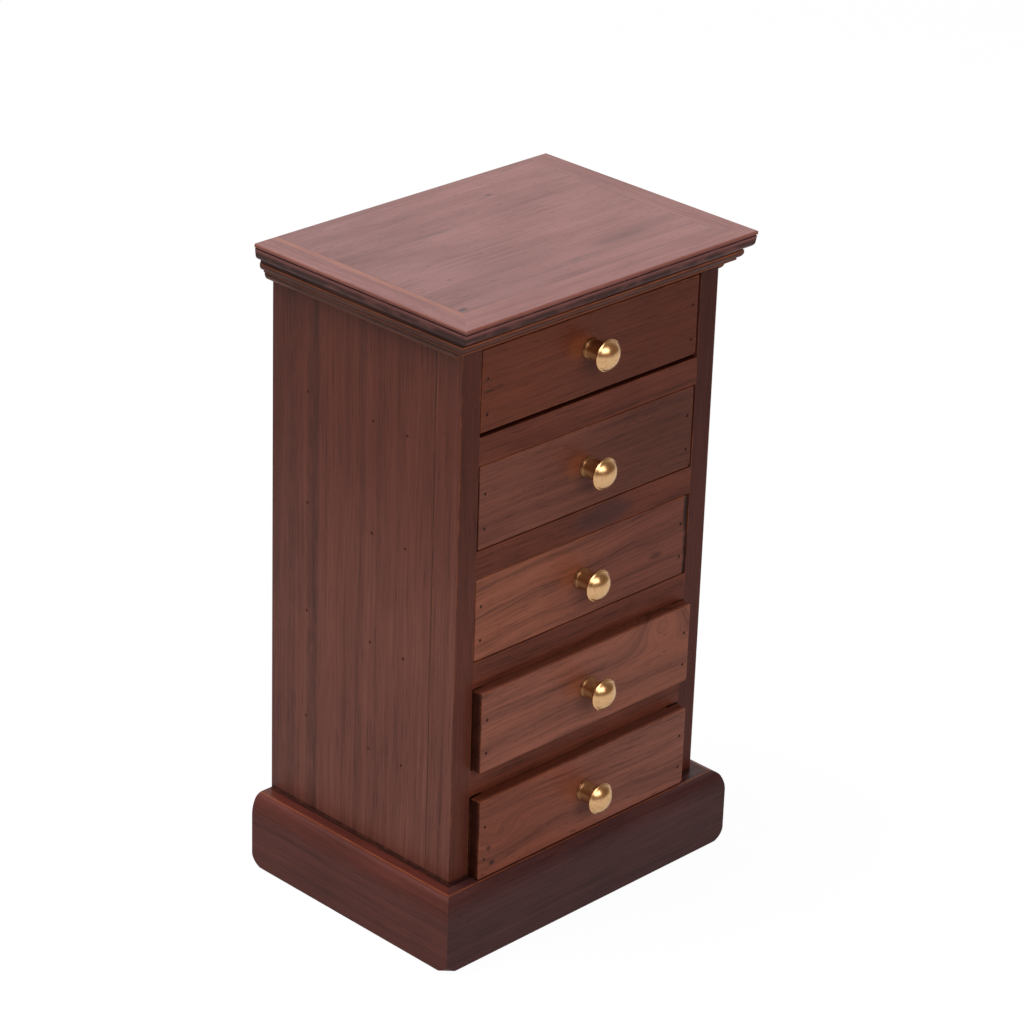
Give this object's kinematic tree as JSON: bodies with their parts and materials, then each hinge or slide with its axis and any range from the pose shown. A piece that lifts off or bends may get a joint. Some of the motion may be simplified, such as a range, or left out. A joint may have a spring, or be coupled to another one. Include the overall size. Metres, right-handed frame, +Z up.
{
  "type": "desktop drawer chest",
  "caption": "Small free-standing hardwood chest with a moulded top and plinth and inset drawers with round brass knobs, for craft supplies and small parts.",
  "frame": {"origin": "middle of the underside of the overall box at rest, knobs included", "axes": "+X to the right seen from the front, -Y out of the drawer fronts, +Z up"},
  "size_m": [0.2308, 0.1772, 0.3925],
  "materials": {
    "top_wood": "waxed satin",
    "moulding_wood": "waxed satin",
    "side_wood": "waxed satin",
    "frame_wood": "waxed satin",
    "drawer_front_wood": "waxed satin",
    "inner_wood": "bare, sanded",
    "pin_wood": "dark, cut flush",
    "knob_brass": "polished",
    "steel": "zinc plated, dull"
  },
  "bodies": {
    "carcass": {"back_panel": "inner_wood", "bottom_board": "inner_wood", "corner_blocks": "inner_wood", "cornice_front": "moulding_wood", "cornice_left": "moulding_wood", "cornice_right": "moulding_wood", "drawer_runners": "inner_wood", "plinth_front": "moulding_wood", "plinth_left": "moulding_wood", "plinth_right": "moulding_wood", "rail_1": "frame_wood", "rail_2": "frame_wood", "rail_3": "frame_wood", "rail_4": "frame_wood", "rail_5": "frame_wood", "rail_top": "frame_wood", "runner_pins": "pin_wood", "side_panel_left": "side_wood", "side_panel_right": "side_wood", "stile_left": "frame_wood", "stile_right": "frame_wood", "top_board": "top_wood", "top_edge_front": "top_wood", "top_edge_left": "top_wood", "top_edge_right": "top_wood"},
    "drawer_1": {"drawer_1_back": "inner_wood", "drawer_1_bottom": "inner_wood", "drawer_1_fasteners": "steel", "drawer_1_front": "drawer_front_wood", "drawer_1_knob": "knob_brass", "drawer_1_left_side": "inner_wood", "drawer_1_right_side": "inner_wood"},
    "drawer_2": {"drawer_2_back": "inner_wood", "drawer_2_bottom": "inner_wood", "drawer_2_fasteners": "steel", "drawer_2_front": "drawer_front_wood", "drawer_2_knob": "knob_brass", "drawer_2_left_side": "inner_wood", "drawer_2_right_side": "inner_wood"},
    "drawer_3": {"drawer_3_back": "inner_wood", "drawer_3_bottom": "inner_wood", "drawer_3_fasteners": "steel", "drawer_3_front": "drawer_front_wood", "drawer_3_knob": "knob_brass", "drawer_3_left_side": "inner_wood", "drawer_3_right_side": "inner_wood"},
    "drawer_4": {"drawer_4_back": "inner_wood", "drawer_4_bottom": "inner_wood", "drawer_4_fasteners": "steel", "drawer_4_front": "drawer_front_wood", "drawer_4_knob": "knob_brass", "drawer_4_left_side": "inner_wood", "drawer_4_right_side": "inner_wood"},
    "drawer_5": {"drawer_5_back": "inner_wood", "drawer_5_bottom": "inner_wood", "drawer_5_fasteners": "steel", "drawer_5_front": "drawer_front_wood", "drawer_5_knob": "knob_brass", "drawer_5_left_side": "inner_wood", "drawer_5_right_side": "inner_wood"}
  },
  "joints": [
    {"name": "drawer_1_slide", "type": "slide", "parent": "carcass", "child": "drawer_1", "axis": [0, -1, 0], "range_m": [0, 0.115]},
    {"name": "drawer_2_slide", "type": "slide", "parent": "carcass", "child": "drawer_2", "axis": [0, -1, 0], "range_m": [0, 0.115]},
    {"name": "drawer_3_slide", "type": "slide", "parent": "carcass", "child": "drawer_3", "axis": [0, -1, 0], "range_m": [0, 0.115]},
    {"name": "drawer_4_slide", "type": "slide", "parent": "carcass", "child": "drawer_4", "axis": [0, -1, 0], "range_m": [-0.007, 0.108]},
    {"name": "drawer_5_slide", "type": "slide", "parent": "carcass", "child": "drawer_5", "axis": [0, -1, 0], "range_m": [-0.008, 0.107]}
  ]
}
